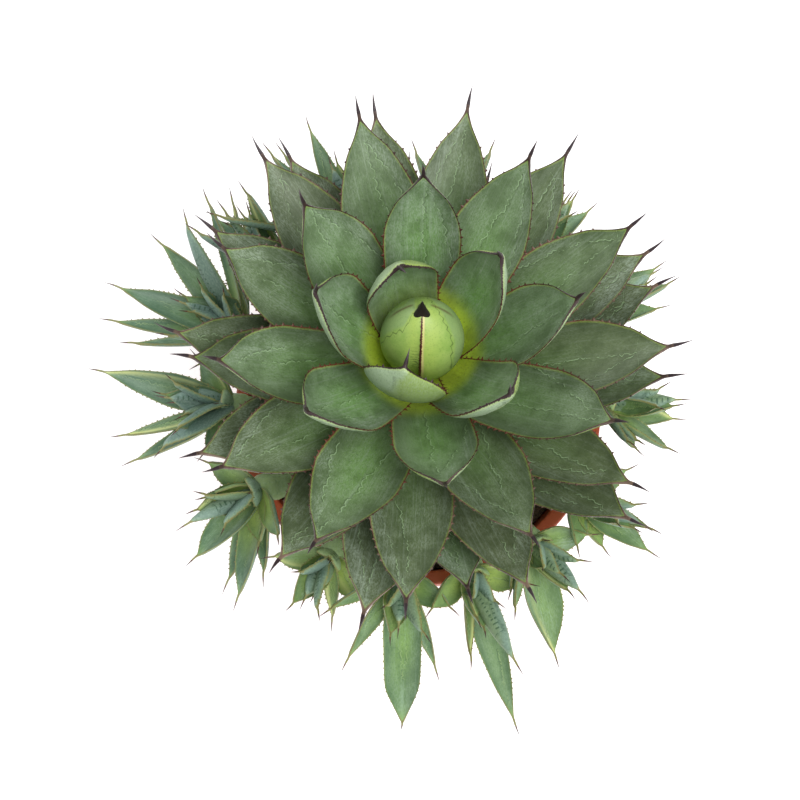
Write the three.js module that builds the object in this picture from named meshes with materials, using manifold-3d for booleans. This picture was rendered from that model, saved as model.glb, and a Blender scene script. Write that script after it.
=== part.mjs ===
// An agave with a large rosette and many offsets, in a plain terracotta-coloured pot.
// Millimetres, +Z up. The origin is the middle of the pot's base, and -Y is the front.
import * as THREE from 'three';
import Module from 'manifold-3d';

const wasm = await Module();
wasm.setup();

// Driving dimensions, in millimetres and degrees

const gap = 0.35; // clearance between pieces that touch
const tolerance = 0.05; // how far a surface may move where faces are merged

const potSize = {
  rimRadius: 78.5,
  baseRadius: 56,
  height: 115,
  wall: 2.4,
  floor: 3,
  collarHeight: 15,
  collarStep: 2.2,
  lipHeight: 3,
  lipStep: 1.2,
  edge: 0.8, // bevel of the rim and the steps
  sides: 32,
  holes: 4,
  holeSides: 8,
  holeRadius: 5,
  holeRing: 36,
};

const soilSize = {
  level: 106, // at the pot's wall
  mound: 3, // how much higher it lies round the stem
};

const crownHeight = 195; // of the bud's widest part, which the rosette is measured from

const stemSize = {
  bottom: 88,
  widestAt: 126,
  top: 172,
  footRadius: 9,
  widestRadius: 17,
  topRadius: 7.5,
  sides: 10,
};

// Heights of the bud and the rosette are from the crown's height
const budSize = {
  bottom: -22.5,
  top: 23,
  rootRadius: 7,
  radius: 15.6,
  tipRadius: 1.6,
  spine: 8.5,
  seamStep: 1.6, // how far the outermost wrapped leaf's margin stands proud
  seamAzimuth: 268,
  lean: 2.5, // how far the tip leans back
  flatness: 0.89, // depth from front to back, as a share of its width
  sides: 14,
};

const rosette = {
  leaves: 44,
  fallen: [36, 42], // old leaves that have dropped off
  firstAzimuth: 116, // of the youngest leaf; leaves are counted from it, 0 first
  turn: 137.87, // from each leaf to the next older one
  fullReach: 99, // of an old leaf's tip from the axis
  innerReach: 20,
  lowRise: 3, // of an old leaf's tip above the crown's height
  innerRise: 47,
  rootSpacing: 0.9, // each leaf's root lies this much lower than the next younger one's
  firstRoot: -22,
  width: 32,
  thickness: 4.6,
  spine: 11,
  youngSpine: 6, // of the youngest leaf
  taper: 1.7, // 1 is a straight-sided point, more is fuller
};

// Where single leaves depart from the rule
const leafNudges = {
  0: { reach: 13, rise: 36, bow: 36, knee: 0.78, cup: 42 },
  1: { reach: 15, rise: 32, bow: 43, knee: 0.81, cup: 31, azimuth: -1 },
  2: { bow: 22 },
  3: { azimuth: 4, bow: 20 },
  4: { azimuth: 5, bow: 24 },
  5: { azimuth: 4, reach: 50 },
  6: { bow: 22 },
  7: { azimuth: 3, reach: 56 },
  8: { azimuth: -3, reach: 61 },
  9: { reach: 65 },
  10: { azimuth: 2.5, reach: 77 },
  13: { azimuth: -2.5, reach: 90 },
  14: { azimuth: -1, reach: 93 },
  15: { azimuth: 2.5, reach: 92 },
  16: { azimuth: -5, reach: 85 },
  17: { azimuth: -3.5, reach: 91 },
  18: { azimuth: 1, reach: 99 },
  20: { azimuth: 3.5, reach: 98 },
  21: { azimuth: -1.5, reach: 101 },
  22: { azimuth: -2.5, reach: 105 },
  23: { azimuth: 6, reach: 101 },
  24: { reach: 92 },
  25: { azimuth: 1, reach: 100 },
  26: { reach: 102 },
  27: { reach: 103 },
  28: { azimuth: 6, reach: 100 },
  29: { azimuth: -4 },
  30: { reach: 106 },
  31: { reach: 86, rise: -14 },
  33: { azimuth: 6 },
  35: { azimuth: -3, reach: 110 },
  38: { azimuth: 3, reach: 107 },
  39: { reach: 88, rise: -18 },
  40: { reach: 84, rise: -22 },
  41: { azimuth: 6 },
  43: { azimuth: -4, reach: 99, rise: -6 },
};

// Each lane is a line along the leaf: its place from margin to margin, and whether it is underneath
const mainLeafForm = {
  belly: 0.53, // where along the blade it is widest
  rootShare: 0.52, // width at the root, as a share of the widest
  stations: [0, 0.25, 0.48, 0.7, 0.89],
  lanes: [[-1, 0], [-0.42, 0], [0.42, 0], [1, 0], [0.5, 1], [-0.5, 1]],
  roomLanes: [[-1, 0], [-0.42, 0], [0.42, 0], [1, 0], [1, 1], [0.5, 1], [-0.5, 1], [-1, 1]],
  spineRadius: 1,
  toothBands: [1, 2, 3],
  toothHeight: 1.5,
};

const youngLeafForm = {
  belly: 0.48,
  rootShare: 0.5,
  stations: [0, 0.3, 0.56, 0.8],
  lanes: [[-1, 0], [0, 0], [1, 0], [0, 1]],
  roomLanes: [[-1, 0], [0, 0], [1, 0], [1, 1], [0, 1], [-1, 1]],
  spineRadius: 0,
  toothBands: [],
  toothHeight: 0,
};

const youngLeaf = { thickness: 3.4, cup: 34, bow: 9, knee: 0.5, spine: 6, taper: 1.8 };

// A leaf that still closes over the heart of its shoot, with its back outwards
const closedLeaf = { ...youngLeaf, cup: 48, bow: 14 };

const shoot = {
  footReach: 50, // from the pot's axis to the foot of each offset's stem
  footHeight: 92,
  crownReach: 78,
  crownHeight: 133,
  footRadius: 5.5,
  crownRadius: 6,
  lean: 46, // of the leafy top, outwards
  rootDepth: 3, // from the middle of the crown to each leaf's root
  sides: 7,
  sideLeaves: [[-78, 24, 14], [70, 26, 8], [165, 12, 24], [-15, 10, 28]], // short: turn, reach, rise
  sideWidth: 13,
};

// Offsets by the heading of their stem, with the tip (x, y, z) and width of each long leaf,
// open or still closed
const offsets = [
  {
    heading: 25,
    open: [[83, 37, 168, 12], [107, 41, 158, 13.5], [106, 56, 140, 13.5], [107, 36, 138, 13.5]],
    closed: [],
  },
  { heading: 52, open: [[65, 79, 160, 9], [78, 83, 140, 11.5], [62, 101, 138, 11]], closed: [] },
  { heading: 80, open: [[-3, 111, 145, 8], [33, 106, 155, 10], [14, 110, 135, 12]], closed: [] },
  {
    heading: 111,
    open: [[-49, 119, 150, 10], [-66, 101, 160, 9.5], [-62, 109, 145, 10], [-87, 64, 170, 11]],
    closed: [],
  },
  {
    heading: 137,
    open: [[-94, 58, 172, 12], [-75, 82, 162, 11.5], [-91, 79, 140, 13], [-83, 72, 165, 6]],
    closed: [],
  },
  {
    heading: 161,
    open: [
      [-130, 42, 150, 14], [-135, 31, 136, 9.5], [-111, 60, 158, 13.5], [-90, 80, 160, 7],
      [-80, 85, 150, 5], [-125, 18, 142, 6], [-107, 17, 156, 8],
    ],
    closed: [[-96, 67, 168, 12], [-79, 35, 163, 13]],
  },
  {
    heading: 185,
    open: [[-136, 6, 145, 15], [-127, -22, 138, 7], [-123, -32, 130, 9.5]],
    closed: [[-104, -36, 158, 19], [-107, -8, 150, 14], [-96, -29, 166, 12]],
  },
  {
    heading: 213,
    open: [
      [-92, -76, 145, 16], [-88, -52, 155, 9.5], [-74, -92, 132, 13], [-80, -84, 124, 11],
      [-63, -82, 128, 8], [-54, -70, 158, 12],
    ],
    closed: [],
  },
  {
    heading: 243,
    open: [[-43, -90, 142, 6.5], [-35, -100, 130, 6.5], [-36, -75, 150, 6]],
    closed: [],
  },
  {
    heading: 265,
    open: [
      [-7, -138, 142, 16], [-39, -96, 150, 6.5], [-31, -116, 138, 7], [-13, -108, 128, 5],
      [8, -119, 126, 6.5],
    ],
    closed: [[-24, -80, 152, 8.5]],
  },
  {
    heading: 285,
    open: [
      [38, -140, 134, 12.5], [31, -119, 128, 10.5], [23, -101, 152, 6], [20, -116, 140, 4.5],
    ],
    closed: [[38, -119, 158, 9]],
  },
  { heading: 305, open: [[54, -115, 138, 18], [36, -98, 150, 5.5], [57, -84, 158, 7]], closed: [] },
  {
    heading: 325,
    open: [[96, -72, 138, 13], [77, -71, 132, 11], [95, -64, 150, 8], [54, -45, 164, 9]],
    closed: [[65, -58, 160, 11]],
  },
  {
    heading: 355,
    open: [[104, -32, 150, 12], [83, -34, 168, 9.5], [89, -31, 158, 9.5], [111, -14, 136, 13.5]],
    closed: [],
  },
];

const finishes = {
  pot: { color: '#c4623f', roughness: 0.55 },
  soil: { color: '#33261d', roughness: 1 },
  stem: { color: '#8a8a5c', roughness: 0.8 },
  bud: { color: '#8fb45c', roughness: 0.5 },
  mainLeaf: { color: '#4c6b4a', roughness: 0.55 },
  youngLeaf: { color: '#6f9468', roughness: 0.55 },
};

const degrees = Math.PI / 180;
const upwards = new THREE.Vector3(0, 0, 1);

// Solids from points and faces

function manifoldOf({ points, faces }) {
  const vertProperties = new Float32Array(points.flatMap((p) => [p.x, p.y, p.z]));
  const triVerts = new Uint32Array(faces.flat());
  return new wasm.Manifold(new wasm.Mesh({ numProp: 3, vertProperties, triVerts }));
}

function geometryOf(manifold) {
  const { vertProperties, triVerts } = manifold.getMesh();
  const geometry = new THREE.BufferGeometry();
  geometry.setAttribute('position', new THREE.BufferAttribute(new Float32Array(vertProperties), 3));
  geometry.setIndex(new THREE.BufferAttribute(new Uint32Array(triVerts), 1));
  geometry.computeVertexNormals();
  return geometry;
}

function meshOf(name, manifold, finish) {
  const material = new THREE.MeshStandardMaterial({ ...finish, metalness: 0 });
  const mesh = new THREE.Mesh(geometryOf(manifold), material);
  mesh.name = name;
  return mesh;
}

// The same round body with every point moved outwards, to cut clearance into a neighbour
function grown({ points, faces }, distance) {
  const normals = points.map(() => new THREE.Vector3());
  for (const [a, b, c] of faces) {
    const normal = points[b].clone().sub(points[a]).cross(points[c].clone().sub(points[a]));
    for (const corner of [a, b, c]) normals[corner].add(normal);
  }
  const moved = points.map((p, i) => p.clone().addScaledVector(normals[i].normalize(), distance));
  return manifoldOf({ points: moved, faces });
}

// What a round neighbour needs clear
function roundNeighbour(body) {
  const room = grown(body, gap);
  return { body: room, room, fullRoom: room };
}

function numbered(name, index) {
  return `${name}_${String(index + 1).padStart(2, '0')}`;
}

// Cuts neighbours away and keeps the largest piece that is left
function cutClear(solid, neighbours) {
  const rest = neighbours.reduce((kept, { body, room, fullRoom }) => {
    const cut = kept.subtract(room);
    return cut.intersect(body).isEmpty() ? cut : cut.subtract(fullRoom);
  }, solid);
  const pieces = rest.decompose();
  const largest = pieces.reduce((best, piece) => (piece.volume() > best.volume() ? piece : best));
  return largest.asOriginal().simplify(tolerance);
}

// Faces between two neighbouring lines of points, of which at most one has points between its ends
function strip(left, right) {
  const faces = [];
  if (left.length > 2) {
    for (let i = 0; i < left.length - 1; i += 1) faces.push([left[i], left[i + 1], right[0]]);
    faces.push([left.at(-1), right[1], right[0]]);
    return faces;
  }
  for (let i = 0; i < right.length - 1; i += 1) faces.push([left[0], right[i + 1], right[i]]);
  faces.push([left[0], left[1], right.at(-1)]);
  return faces;
}

// A closed body through rings of equally many points, with a flat start and a flat or pointed end.
// between(band, k) may add points along the line from ring point k to the next ring.
function loft(rings, apex, between = () => []) {
  const count = rings[0].length;
  const points = rings.flat();
  const faces = [];
  for (let k = 1; k < count - 1; k += 1) faces.push([0, k, k + 1]);
  for (let band = 0; band < rings.length - 1; band += 1) {
    const lines = rings[0].map((_, k) => {
      const extra = between(band, k);
      const first = points.length;
      points.push(...extra);
      return [band * count + k, ...extra.map((_point, i) => first + i), (band + 1) * count + k];
    });
    for (let k = 0; k < count; k += 1) faces.push(...strip(lines[k], lines[(k + 1) % count]));
  }
  const last = (rings.length - 1) * count;
  if (apex) {
    points.push(apex);
    const tip = points.length - 1;
    for (let k = 0; k < count; k += 1) faces.push([last + k, tip, last + ((k + 1) % count)]);
  } else {
    for (let k = 1; k < count - 1; k += 1) faces.push([last, last + k + 1, last + k]);
  }
  return { points, faces };
}

// A round ring that loft can take, about an axis that points along the loft
function ring(centre, axis, radius, sides) {
  const normal = new THREE.Vector3(0.123, 0.992, 0).cross(axis).normalize();
  const side = normal.clone().cross(axis).normalize();
  return Array.from({ length: sides }, (_, k) => {
    const angle = (2 * Math.PI * k) / sides;
    return centre.clone()
      .addScaledVector(side, radius * Math.sin(angle))
      .addScaledVector(normal, radius * Math.cos(angle));
  });
}

// Leaves

// Half the width at a share of the blade's length, as a share of the widest
function bladeOutline(share, form, taper) {
  if (share < form.belly) {
    const x = (form.belly - share) / form.belly;
    return 1 - (1 - form.rootShare) * x * x;
  }
  const x = (share - form.belly) / (1 - form.belly);
  return 1 - x ** taper;
}

// One ring of the blade: a cupped upper face and a rounded underside that meet in sharp margins.
// Room is what it is larger all round, to cut clearance into a neighbour.
function bladeRing(leaf, form, share, room) {
  const { centre, forward, normal } = leaf.frame(share * leaf.bladeShare);
  if (share === 0) centre.addScaledVector(forward, -2 * room);
  const half = 0.5 * leaf.width * bladeOutline(share, form, leaf.taper) + room + (room && leaf.toothRoom);
  const thick = leaf.thickness * (1 - 0.6 * share);
  const cup = leaf.cup * (0.75 + 0.5 * share) * degrees;
  return form.lanes.map(([lane, under]) => {
    const angle = lane * cup;
    const depth = under ? thick * (1 - lane * lane) ** 0.6 + room : -room;
    return centre.clone()
      .addScaledVector(leaf.side, (half * Math.sin(angle)) / cup + depth * Math.sin(angle))
      .addScaledVector(normal, (half * (1 - Math.cos(angle))) / cup - depth * Math.cos(angle));
  });
}

// The round foot of the terminal spine
function spineRing(leaf, form, room) {
  const { centre, normal } = leaf.frame(leaf.bladeShare);
  const radius = form.spineRadius + 1.3 * room;
  return form.lanes.map(([lane, under]) => {
    const angle = (under ? 2 - lane : lane) * 90 * degrees;
    return centre.clone()
      .addScaledVector(leaf.side, radius * Math.sin(angle))
      .addScaledVector(normal, radius * Math.cos(angle));
  });
}

// A margin tooth: two points on the margin with a peak between them, set forwards
function tooth(before, after, outward, height) {
  const start = before.clone().lerp(after, 0.38);
  const end = before.clone().lerp(after, 0.62);
  const peak = start.clone().lerp(end, 0.8).addScaledVector(outward, height);
  return [start, peak, end];
}

// A leaf along a bowed centreline from its root to its spine's tip. Its side is the direction of
// its width, and its upper face is the concave one.
function leafBody(shape, form, { room = 0, toothRoom = 0 } = {}) {
  const { root, tip, side, bow } = shape;
  const chord = tip.clone().sub(root);
  const upper = chord.clone().cross(side).normalize();
  const knee = root.clone().addScaledVector(chord, shape.knee)
    .addScaledVector(upper, -0.5 * chord.length() * Math.tan(bow * degrees));
  const curve = new THREE.QuadraticBezierCurve3(root, knee, tip);
  const leaf = {
    ...shape,
    toothRoom,
    bladeShare: 1 - shape.spine / curve.getLength(),
    frame: (share) => ({
      centre: curve.getPoint(share),
      forward: curve.getTangent(share),
      normal: curve.getTangent(share).cross(side).normalize(),
    }),
  };
  const rings = form.stations.map((share) => bladeRing(leaf, form, share, room));
  if (form.spineRadius) rings.push(spineRing(leaf, form, room));
  const teeth = (band, k) => {
    const [lane] = form.lanes[k];
    if (room || Math.abs(lane) !== 1 || !form.toothBands.includes(band)) return [];
    const outward = side.clone().multiplyScalar(lane);
    return tooth(rings[band][k], rings[band + 1][k], outward, form.toothHeight);
  };
  return loft(rings, tip.clone().lerp(knee, -3 * room / tip.distanceTo(knee)), teeth);
}

// What a leaf needs clear: its outline, and where its teeth still touch, room for them too
function leafNeighbour(leaf, form) {
  const blunt = { ...form, lanes: form.roomLanes };
  const roomFor = (toothRoom) => manifoldOf(leafBody(leaf, blunt, { room: gap, toothRoom }));
  return {
    body: manifoldOf(leafBody(leaf, form)),
    room: roomFor(0),
    fullRoom: roomFor(form.toothHeight),
  };
}

// The large rosette

function stemRadius(height) {
  const { bottom, widestAt, top, footRadius, widestRadius, topRadius } = stemSize;
  if (height < widestAt) {
    const swell = Math.sin((90 * degrees * (height - bottom)) / (widestAt - bottom));
    return footRadius + (widestRadius - footRadius) * swell;
  }
  return widestRadius + ((topRadius - widestRadius) * (height - widestAt)) / (top - widestAt);
}

function stemBody() {
  const { bottom, top, sides } = stemSize;
  const rings = [0, 0.12, 0.28, 0.46, 0.64, 0.82, 1].map((share) => {
    const z = bottom + (top - bottom) * share;
    return ring(new THREE.Vector3(0, 0, z), upwards, stemRadius(z), sides);
  });
  return loft(rings);
}

// How far the tip of leaf n reaches from the axis
function tipReach(n) {
  const { fullReach, innerReach } = rosette;
  return innerReach + (fullReach - innerReach) * (1 - Math.exp(-((n / 9) ** 1.35)));
}

// How far the tip of leaf n stands above the crown's height
function tipRise(n) {
  return rosette.lowRise + (rosette.innerRise - rosette.lowRise) * Math.exp(-((n / 17) ** 2));
}

function mainLeaf(n) {
  const nudge = leafNudges[n] ?? {};
  const azimuth = (rosette.firstAzimuth + rosette.turn * n + (nudge.azimuth ?? 0)) * degrees;
  const outward = new THREE.Vector3(Math.cos(azimuth), Math.sin(azimuth), 0);
  const rootHeight = crownHeight + rosette.firstRoot - rosette.rootSpacing * n;
  const at = (reach, height) => outward.clone().multiplyScalar(reach).setZ(height);
  return {
    root: at(stemRadius(rootHeight) - 2, rootHeight),
    tip: at(nudge.reach ?? tipReach(n), crownHeight + (nudge.rise ?? tipRise(n))),
    side: upwards.clone().cross(outward),
    bow: nudge.bow ?? 8 + 18 * Math.exp(-n / 8),
    knee: nudge.knee ?? 0.62 + 0.16 * Math.exp(-n / 8),
    width: rosette.width + 1.5 * Math.sin(2.4 * n),
    thickness: rosette.thickness,
    cup: nudge.cup ?? 24 + 30 * Math.exp(-n / 4),
    spine: rosette.spine - (rosette.spine - rosette.youngSpine) * Math.exp(-n / 6),
    taper: rosette.taper + 0.35 * Math.exp(-n / 8) + 0.12 * Math.sin(1.7 * n),
  };
}

// The bud: wrapped leaves, the outermost of which ends in a step along the seam
function budRadius(height) {
  const { bottom, top, rootRadius, radius, tipRadius } = budSize;
  if (height < 0) return radius - (radius - rootRadius) * (height / bottom) ** 2;
  return tipRadius + (radius - tipRadius) * (1 - (height / top) ** 2.4) ** 0.8;
}

function budBody() {
  const { bottom, top, seamStep, seamAzimuth, lean, flatness, sides, spine } = budSize;
  const heights = [bottom, -15, -7, 1, 8, 14, 18.5, 21.5, top];
  const rings = heights.map((z) => {
    const rise = Math.max(0, z / top);
    const step = seamStep * (1 - rise ** 3) * Math.min(1, (z - bottom) / 12);
    return Array.from({ length: sides + 1 }, (_, k) => {
      const turn = k / sides;
      const angle = (seamAzimuth - 360 * turn) * degrees;
      const radius = budRadius(z) + step * (turn - 0.5);
      const y = flatness * radius * Math.sin(angle) + lean * rise * rise;
      return new THREE.Vector3(radius * Math.cos(angle), y, crownHeight + z);
    });
  });
  return loft(rings, new THREE.Vector3(0, lean * 1.3, crownHeight + top + spine));
}

function rosetteMeshes() {
  const stem = stemBody();
  const bud = budBody();
  const neighbours = [roundNeighbour(stem), roundNeighbour(bud)];
  const meshes = [
    meshOf('stem', manifoldOf(stem), finishes.stem),
    meshOf('central_bud', manifoldOf(bud), finishes.bud),
  ];
  const places = Array.from({ length: rosette.leaves }, (_, n) => n)
    .filter((n) => !rosette.fallen.includes(n));
  places.forEach((n, i) => {
    const neighbour = leafNeighbour(mainLeaf(n), mainLeafForm);
    meshes.push(meshOf(numbered('leaf', i), cutClear(neighbour.body, neighbours), finishes.mainLeaf));
    neighbours.push(neighbour);
  });
  return { meshes, neighbours };
}

// Offsets

function shootAxis(heading) {
  const lean = shoot.lean * degrees;
  const outward = new THREE.Vector3(Math.cos(heading * degrees), Math.sin(heading * degrees), 0);
  return outward.multiplyScalar(Math.sin(lean)).addScaledVector(upwards, Math.cos(lean));
}

function shootStem(heading) {
  const axis = shootAxis(heading);
  const outward = new THREE.Vector3(Math.cos(heading * degrees), Math.sin(heading * degrees), 0);
  const foot = outward.clone().multiplyScalar(shoot.footReach).setZ(shoot.footHeight);
  const crown = outward.clone().multiplyScalar(shoot.crownReach).setZ(shoot.crownHeight);
  const knee = crown.clone().addScaledVector(axis, -14);
  const curve = new THREE.QuadraticBezierCurve3(foot, knee, crown.clone().addScaledVector(axis, 4));
  const rings = [0, 0.55, 1].map((share) => {
    const swell = share === 1 ? 0.6 : share;
    const radius = shoot.footRadius + (shoot.crownRadius - shoot.footRadius) * swell;
    return ring(curve.getPoint(share), curve.getTangent(share), radius, shoot.sides);
  });
  return { body: loft(rings), crown, axis, outward };
}

function youngLeafAt(crown, tip, width, axis, kind) {
  const root = crown.clone().lerp(tip, shoot.rootDepth / crown.distanceTo(tip));
  const side = axis.clone().cross(tip.clone().sub(root)).normalize();
  if (kind === closedLeaf) side.negate();
  return leafNeighbour({ ...kind, root, tip, side, width }, youngLeafForm);
}

function offsetParts({ heading, open, closed }) {
  const { body, crown, axis, outward } = shootStem(heading);
  const longLeaf = (kind) => ([x, y, z, width]) => {
    return youngLeafAt(crown, new THREE.Vector3(x, y, z), width, axis, kind);
  };
  const sideLeaves = shoot.sideLeaves.map(([turn, reach, rise]) => {
    const tip = outward.clone().applyAxisAngle(upwards, turn * degrees)
      .multiplyScalar(reach).add(crown).addScaledVector(axis, rise);
    return youngLeafAt(crown, tip, shoot.sideWidth, axis, youngLeaf);
  });
  const longLeaves = [...open.map(longLeaf(youngLeaf)), ...closed.map(longLeaf(closedLeaf))];
  return { stem: body, parts: [...longLeaves, ...sideLeaves] };
}

function offsetMeshes(neighbours) {
  const shoots = offsets.map(offsetParts);
  const stems = shoots.map(({ stem }) => roundNeighbour(stem));
  const taken = [...neighbours];
  const meshes = shoots.map(({ stem, parts }, i) => {
    const whole = parts.reduce((solid, { body }) => solid.add(body), manifoldOf(stem));
    const clear = cutClear(whole, [...taken, ...stems.filter((_, k) => k !== i)]);
    taken.push(...parts);
    return meshOf(numbered('offset', i), clear, finishes.youngLeaf);
  });
  return { meshes, stems };
}

// Pot and soil

// A round body from its outline, a list of radii and heights
function turned(profile) {
  const at = (z) => new THREE.Vector3(0, 0, z);
  const rings = profile.map(([radius, z]) => ring(at(z), upwards, radius, potSize.sides));
  return manifoldOf(loft(rings));
}

function potRadii() {
  const { rimRadius, baseRadius, wall, collarStep, lipStep } = potSize;
  const collar = rimRadius - lipStep;
  const side = collar - collarStep;
  return { collar, side, inner: side - wall, innerBase: baseRadius - wall - 1 };
}

function potSolid() {
  const { rimRadius, baseRadius, height, floor, collarHeight, lipHeight, edge } = potSize;
  const { holes, holeSides, holeRadius, holeRing } = potSize;
  const { collar, side, inner, innerBase } = potRadii();
  const shell = turned([
    [baseRadius - 2 * edge, 0], [baseRadius, 2 * edge], [side, height - collarHeight],
    [collar, height - collarHeight + edge], [collar, height - lipHeight - edge],
    [rimRadius, height - lipHeight], [rimRadius, height - edge], [rimRadius - edge, height],
    [inner + edge, height], [inner, height - edge], [innerBase, floor],
  ]);
  const drains = Array.from({ length: holes }, (_, k) => {
    const angle = (2 * Math.PI * k) / holes;
    const at = (z) => new THREE.Vector3(holeRing * Math.cos(angle), holeRing * Math.sin(angle), z);
    return roundNeighbour(loft([-1, floor + 1].map((z) => ring(at(z), upwards, holeRadius, holeSides))));
  });
  return cutClear(shell, drains);
}

function soilSolid(stems) {
  const { height, floor, edge } = potSize;
  const { inner, innerBase } = potRadii();
  const { level, mound } = soilSize;
  const slope = (inner - innerBase) / (height - edge - floor);
  const wallAt = (z) => innerBase + slope * (z - floor) - 1.3 * gap;
  const bottom = floor + gap;
  const heap = turned([
    [wallAt(bottom), bottom], [wallAt(level - 1), level - 1], [wallAt(level) - 2, level],
    [40, level + 0.6 * mound], [20, level + mound],
  ]);
  return cutClear(heap, stems);
}

const plant = new THREE.Group();
const { meshes: rosetteParts, neighbours } = rosetteMeshes();
const { meshes: offsetShoots, stems } = offsetMeshes(neighbours);
plant.add(meshOf('pot', potSolid(), finishes.pot));
plant.add(meshOf('soil', soilSolid([neighbours[0], ...stems]), finishes.soil));
plant.add(...rosetteParts, ...offsetShoots);

export default plant;
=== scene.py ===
import functools
import math
import random

import bmesh
import bpy
import numpy as np
from mathutils import Matrix, Vector


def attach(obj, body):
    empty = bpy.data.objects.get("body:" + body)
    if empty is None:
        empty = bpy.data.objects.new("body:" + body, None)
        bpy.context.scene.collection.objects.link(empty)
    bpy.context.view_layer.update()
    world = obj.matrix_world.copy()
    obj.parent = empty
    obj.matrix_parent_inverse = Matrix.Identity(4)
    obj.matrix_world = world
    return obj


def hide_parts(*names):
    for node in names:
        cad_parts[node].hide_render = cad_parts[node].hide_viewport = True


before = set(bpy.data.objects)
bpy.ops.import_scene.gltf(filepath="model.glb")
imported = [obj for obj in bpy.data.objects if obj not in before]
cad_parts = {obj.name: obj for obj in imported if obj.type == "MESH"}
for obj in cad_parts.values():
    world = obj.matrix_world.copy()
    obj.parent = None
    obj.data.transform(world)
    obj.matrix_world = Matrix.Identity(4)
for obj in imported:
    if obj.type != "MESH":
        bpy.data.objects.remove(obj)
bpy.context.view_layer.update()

# Lengths in this script are in millimetres and angles in degrees, unless a line says otherwise,
# and the scale of a noise is in waves to the millimetre
mm = 0.001


# The linear colour of an sRGB hex string, with alpha 1
def linear(hexColor):
    channels = [int(hexColor[i:i + 2], 16) / 255 for i in (1, 3, 5)]
    return (*(c / 12.92 if c <= 0.04045 else ((c + 0.055) / 1.055) ** 2.4 for c in channels), 1)


def unit(v):
    return v / np.linalg.norm(v, axis=-1, keepdims=True)


def smooth(low, high, x):
    t = np.clip((x - low) / (high - low), 0, 1)
    return t * t * (3 - 2 * t)


# Points at shares t of a curve from start to end that bends towards a knee between them
def bent(start, knee, end, t):
    t = np.asarray(t)[..., None]
    return start * (1 - t) ** 2 + knee * 2 * t * (1 - t) + end * t * t


# The directions of that curve
def bentHeading(start, knee, end, t):
    t = np.asarray(t)[..., None]
    return unit((knee - start) * (1 - t) + (end - knee) * t)


def evenAngles(count):
    return np.linspace(0, 2 * math.pi, count, endpoint=False)


# Camera: it looks down steeply from the front, at the view fitted to the rosette's leaf tips
view = {
    "elevation": 73, "distance": 480, "focus": (0, 0, 195), "pixelsPerMm": 2.7,
    "focusPixel": (421, 340), "imageSize": 800, "sensor": 36,
}


def makeCamera():
    tilt = math.radians(view["elevation"])
    forward = Vector((0, math.cos(tilt), -math.sin(tilt)))
    right = Vector((1, 0, 0))
    up = right.cross(forward)
    middle = view["imageSize"] / 2
    place = Vector(view["focus"]) - view["distance"] * forward
    place -= (view["focusPixel"][0] - middle) / view["pixelsPerMm"] * right
    place -= (middle - view["focusPixel"][1]) / view["pixelsPerMm"] * up
    data = bpy.data.cameras.new("camera")
    data.sensor_width = view["sensor"]
    data.lens = view["pixelsPerMm"] * view["distance"] * view["sensor"] / view["imageSize"]
    camera = bpy.data.objects.new("camera", data)
    turn = Matrix((right, up, -forward)).transposed().to_4x4()
    camera.matrix_world = Matrix.Translation(place * mm) @ turn
    bpy.context.collection.objects.link(camera)
    bpy.context.scene.camera = camera
    print("camera at", [round(c) for c in place], "lens", round(data.lens, 2))


makeCamera()


# Materials

# The settings that a kind of node has unless a call gives others
usualSettings = {
    "Mix": {"data_type": "RGBA"},
    "MapRange": {"interpolation_type": "SMOOTHSTEP"},
    "Math": {"operation": "MULTIPLY"},
}


# Links each socket to what feeds it, or sets it, where a string is a hex colour
def fillSockets(tree, pairs):
    for socket, value in pairs:
        if isinstance(value, bpy.types.NodeSocket):
            tree.links.new(value, socket)
        elif value is not None:
            socket.default_value = linear(value) if isinstance(value, str) else value


# Adds a node with its settings and links. Its inputs come in the order in which the node shows
# them, and None leaves one as it is.
def addNode(tree, kind, *inputs, output=None, **settings):
    node = tree.nodes.new("ShaderNode" + kind)
    for key, value in {**usualSettings.get(kind, {}), **settings}.items():
        setattr(node, key, value)
    fillSockets(tree, zip([socket for socket in node.inputs if socket.enabled], inputs))
    return node.outputs[output] if output else next(s for s in node.outputs if s.enabled)


# A new material, and the function that adds its nodes
def startMaterial(name):
    material = bpy.data.materials.new(name)
    material.use_nodes = True
    return material, functools.partial(addNode, material.node_tree)


def finishMaterial(material, sockets):
    skin = material.node_tree.nodes["Principled BSDF"]
    fillSockets(material.node_tree, [(skin.inputs[name], value) for name, value in sockets.items()])
    return material


rosetteLook = {
    "name": "leaf_skin_waxy_with_horny_margin",
    # glow: the young leaf bases' own yellow-green, lightened as painted light for the light that shines
    # through them into the shaded heart
    "fresh": "#64943a", "mid": "#607a52", "oldAndSheen": "#4d5738", "glow": "#d2ea48",
    "under": "#748a4c", "underOldAndSheen": "#667450", "underVeil": "#8a9e84", "dust": "#99a796",
    "imprint": "#a6c594", "groove": "#2d3b22", "stripe": "#c4cc88",
    "marginTip": "#2b1a1c", "marginRoot": "#673224", "marginOldAndSheen": "#86705f",
    "spine": "#2a1d22", "spineTip": "#4c4046", "hornStart": 1.0,
    "marginWidth": 0.4, "dustAmount": 0.55, "scallop": 4.2, "lineAmount": 0.42, "dashes": 0,
}

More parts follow.
